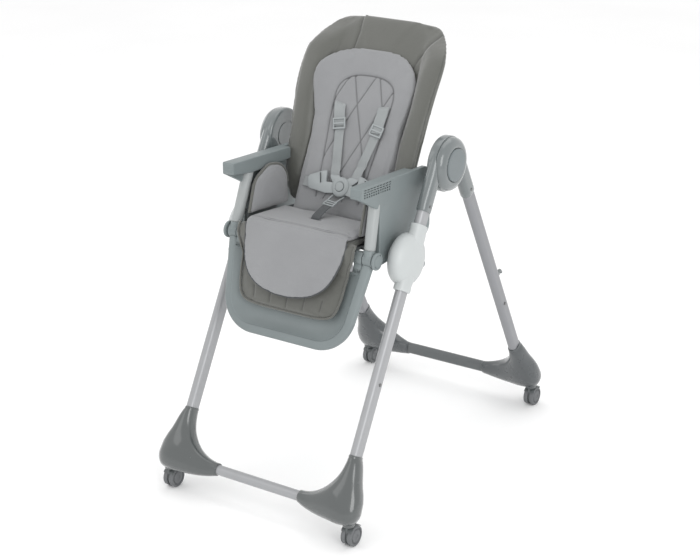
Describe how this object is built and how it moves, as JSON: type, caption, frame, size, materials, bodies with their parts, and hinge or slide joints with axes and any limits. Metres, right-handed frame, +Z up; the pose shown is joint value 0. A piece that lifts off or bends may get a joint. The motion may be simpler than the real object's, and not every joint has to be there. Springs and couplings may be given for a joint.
{
  "type": "baby high chair",
  "caption": "Folding baby high chair: an A-frame on swivel casters carries a seat that slides in height, a reclining padded back, a harness and a tilting footrest.",
  "frame": {"origin": "on the floor, under the middle of the hub axis, at the middle of the overall box", "axes": "+Z up; the child faces -Y; +X is on the child's left; the hub axis is parallel to X"},
  "size_m": [0.568, 0.9531, 1.0703],
  "materials": {
    "frame_paint": "satin grey powder coat",
    "frame_plastic": "glossy mid grey moulding",
    "panel_plastic": "fine satin bluish grey moulding",
    "pale_plastic": "satin pale grey moulding",
    "caster_plastic": "satin dark grey moulding",
    "wheel_rubber": "satin grey tread",
    "leatherette": "fine-grained dark grey leatherette",
    "quilt": "light grey quilted fabric",
    "webbing": "flat woven strap",
    "buckle_plastic": "satin grey moulding",
    "steel": "plain steel"
  },
  "bodies": {
    "front_frame": {"front_leg_left": "frame_paint", "front_leg_right": "frame_paint", "front_hub_left": "frame_plastic", "front_hub_right": "frame_plastic", "front_foot_left": "frame_plastic", "front_foot_right": "frame_plastic", "front_crossbar": "frame_paint", "hub_pins": "steel", "front_screws": "steel"},
    "rear_frame": {"rear_leg_left": "frame_paint", "rear_leg_right": "frame_paint", "rear_hub_left": "frame_plastic", "rear_hub_right": "frame_plastic", "rear_foot_left": "frame_plastic", "rear_foot_right": "frame_plastic", "rear_crossbar": "frame_paint", "tray_pegs": "frame_plastic", "rear_screws": "steel"},
    "seat": {"slider_left": "pale_plastic", "slider_right": "pale_plastic", "side_panel_left": "panel_plastic", "side_panel_right": "panel_plastic", "knee_tube_left": "pale_plastic", "knee_tube_right": "pale_plastic", "seat_base": "panel_plastic", "footrest_pins": "steel", "back_rod": "steel", "seat_pad": "leatherette", "seat_insert": "quilt", "hip_bolsters": "quilt", "crotch_strap": "webbing"},
    "footrest": {"footrest_rim": "panel_plastic", "footrest_panel": "panel_plastic", "calf_pad": "leatherette", "calf_insert": "quilt"},
    "back": {"back_shell": "panel_plastic", "back_pad": "leatherette", "back_insert": "quilt", "shoulder_straps": "webbing", "waist_straps": "webbing", "strap_adjusters": "buckle_plastic", "buckle": "buckle_plastic"},
    "recline_release": {"recline_lever": "pale_plastic"},
    "harness_release": {"buckle_button": "buckle_plastic"},
    "fold_button_left": {"fold_button_left": "panel_plastic"},
    "height_button_left": {"height_button_left": "panel_plastic"},
    "footrest_button_left": {"footrest_button_left": "panel_plastic"},
    "brake_left": {"brake_lever_left": "pale_plastic"},
    "front_caster_left": {"front_caster_left": "caster_plastic"},
    "front_wheels_left": {"front_wheels_left": "wheel_rubber"},
    "rear_caster_left": {"rear_caster_left": "caster_plastic"},
    "rear_wheels_left": {"rear_wheels_left": "wheel_rubber"},
    "fold_button_right": {"fold_button_right": "panel_plastic"},
    "height_button_right": {"height_button_right": "panel_plastic"},
    "footrest_button_right": {"footrest_button_right": "panel_plastic"},
    "brake_right": {"brake_lever_right": "pale_plastic"},
    "front_caster_right": {"front_caster_right": "caster_plastic"},
    "front_wheels_right": {"front_wheels_right": "wheel_rubber"},
    "rear_caster_right": {"rear_caster_right": "caster_plastic"},
    "rear_wheels_right": {"rear_wheels_right": "wheel_rubber"}
  },
  "joints": [
    {"name": "fold", "type": "hinge", "parent": "front_frame", "child": "rear_frame", "pos_m": [0, 0, 0.776], "axis": [-1, 0, 0], "range_deg": [0, 52]},
    {"name": "seat_height", "type": "slide", "parent": "front_frame", "child": "seat", "axis": [0, 0.4863, 0.8738], "range_m": [-0.15, 0.03]},
    {"name": "recline", "type": "hinge", "parent": "seat", "child": "back", "pos_m": [0, -0.06, 0.612], "axis": [-1, 0, 0], "range_deg": [0, 35]},
    {"name": "footrest_tilt", "type": "hinge", "parent": "seat", "child": "footrest", "pos_m": [0, -0.25, 0.608], "axis": [-1, 0, 0], "range_deg": [0, 50]},
    {"name": "recline_lever_lift", "type": "hinge", "parent": "back", "child": "recline_release", "pos_m": [0, 0.09421, 0.90705], "axis": [1, 0, 0], "range_deg": [0, 18], "stiffness_Nm_per_rad": 0.5, "springref_deg": -11.46},
    {"name": "harness_release_press", "type": "slide", "parent": "back", "child": "harness_release", "axis": [0, 0.891, -0.454], "range_m": [0, 0.002], "stiffness_N_per_m": 900, "springref_m": -0.0015},
    {"name": "fold_button_press_left", "type": "slide", "parent": "rear_frame", "child": "fold_button_left", "axis": [-1, 0, 0], "range_m": [0, 0.0035], "stiffness_N_per_m": 1200, "springref_m": -0.002},
    {"name": "height_button_press_left", "type": "slide", "parent": "seat", "child": "height_button_left", "axis": [0, -0.8738, 0.4863], "range_m": [0, 0.0025], "stiffness_N_per_m": 1200, "springref_m": -0.002},
    {"name": "footrest_button_press_left", "type": "slide", "parent": "seat", "child": "footrest_button_left", "axis": [-1, 0, 0], "range_m": [0, 0.003], "stiffness_N_per_m": 1200, "springref_m": -0.002},
    {"name": "brake_press_left", "type": "hinge", "parent": "rear_caster_left", "child": "brake_left", "pos_m": [0.254, 0.475, 0.038], "axis": [-1, 0, 0], "range_deg": [0, 14]},
    {"name": "front_swivel_left", "type": "hinge", "parent": "front_frame", "child": "front_caster_left", "pos_m": [0.254, -0.44, 0.05], "axis": [0, 0, 1], "continuous": true},
    {"name": "front_roll_left", "type": "hinge", "parent": "front_caster_left", "child": "front_wheels_left", "pos_m": [0.254, -0.429, 0.024], "axis": [1, 0, 0], "continuous": true},
    {"name": "rear_swivel_left", "type": "hinge", "parent": "rear_frame", "child": "rear_caster_left", "pos_m": [0.254, 0.44, 0.05], "axis": [0, 0, 1], "continuous": true},
    {"name": "rear_roll_left", "type": "hinge", "parent": "rear_caster_left", "child": "rear_wheels_left", "pos_m": [0.254, 0.451, 0.024], "axis": [1, 0, 0], "continuous": true},
    {"name": "fold_button_press_right", "type": "slide", "parent": "rear_frame", "child": "fold_button_right", "axis": [1, 0, 0], "range_m": [0, 0.0035], "stiffness_N_per_m": 1200, "springref_m": -0.002},
    {"name": "height_button_press_right", "type": "slide", "parent": "seat", "child": "height_button_right", "axis": [0, -0.8738, 0.4863], "range_m": [0, 0.0025], "stiffness_N_per_m": 1200, "springref_m": -0.002},
    {"name": "footrest_button_press_right", "type": "slide", "parent": "seat", "child": "footrest_button_right", "axis": [1, 0, 0], "range_m": [0, 0.003], "stiffness_N_per_m": 1200, "springref_m": -0.002},
    {"name": "brake_press_right", "type": "hinge", "parent": "rear_caster_right", "child": "brake_right", "pos_m": [-0.254, 0.475, 0.038], "axis": [-1, 0, 0], "range_deg": [0, 14]},
    {"name": "front_swivel_right", "type": "hinge", "parent": "front_frame", "child": "front_caster_right", "pos_m": [-0.254, -0.44, 0.05], "axis": [0, 0, 1], "continuous": true},
    {"name": "front_roll_right", "type": "hinge", "parent": "front_caster_right", "child": "front_wheels_right", "pos_m": [-0.254, -0.429, 0.024], "axis": [1, 0, 0], "continuous": true},
    {"name": "rear_swivel_right", "type": "hinge", "parent": "rear_frame", "child": "rear_caster_right", "pos_m": [-0.254, 0.44, 0.05], "axis": [0, 0, 1], "continuous": true},
    {"name": "rear_roll_right", "type": "hinge", "parent": "rear_caster_right", "child": "rear_wheels_right", "pos_m": [-0.254, 0.451, 0.024], "axis": [1, 0, 0], "continuous": true}
  ]
}
